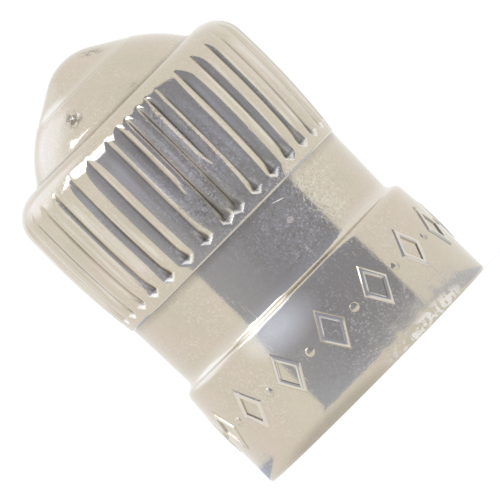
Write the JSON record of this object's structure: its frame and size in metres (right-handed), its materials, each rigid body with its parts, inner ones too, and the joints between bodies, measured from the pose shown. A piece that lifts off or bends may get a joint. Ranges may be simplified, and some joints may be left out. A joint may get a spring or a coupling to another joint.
{
  "type": "tyre valve cap",
  "caption": "Tall plated metal dust cap for a tyre valve, with a two-stage nose, reeded grip band, plain neck and stepped skirt over a threaded bush with a sealing ring.",
  "frame": {"origin": "centre of the open rim, on the surface that the cap stands on", "axes": "+Z along the cap's axis, from the rim up to the nose; -Y faces the camera of the picture"},
  "size_m": [0.0222, 0.0222, 0.0323],
  "materials": {
    "plate": "nickel-plated sheet metal, polished and lightly worn",
    "bush_brass": "turned brass, plain",
    "seal_rubber": "moulded black rubber, matt"
  },
  "bodies": {
    "root": {"shell": "plate", "threaded_bushing": "bush_brass", "sealing_washer": "seal_rubber"}
  },
  "joints": []
}
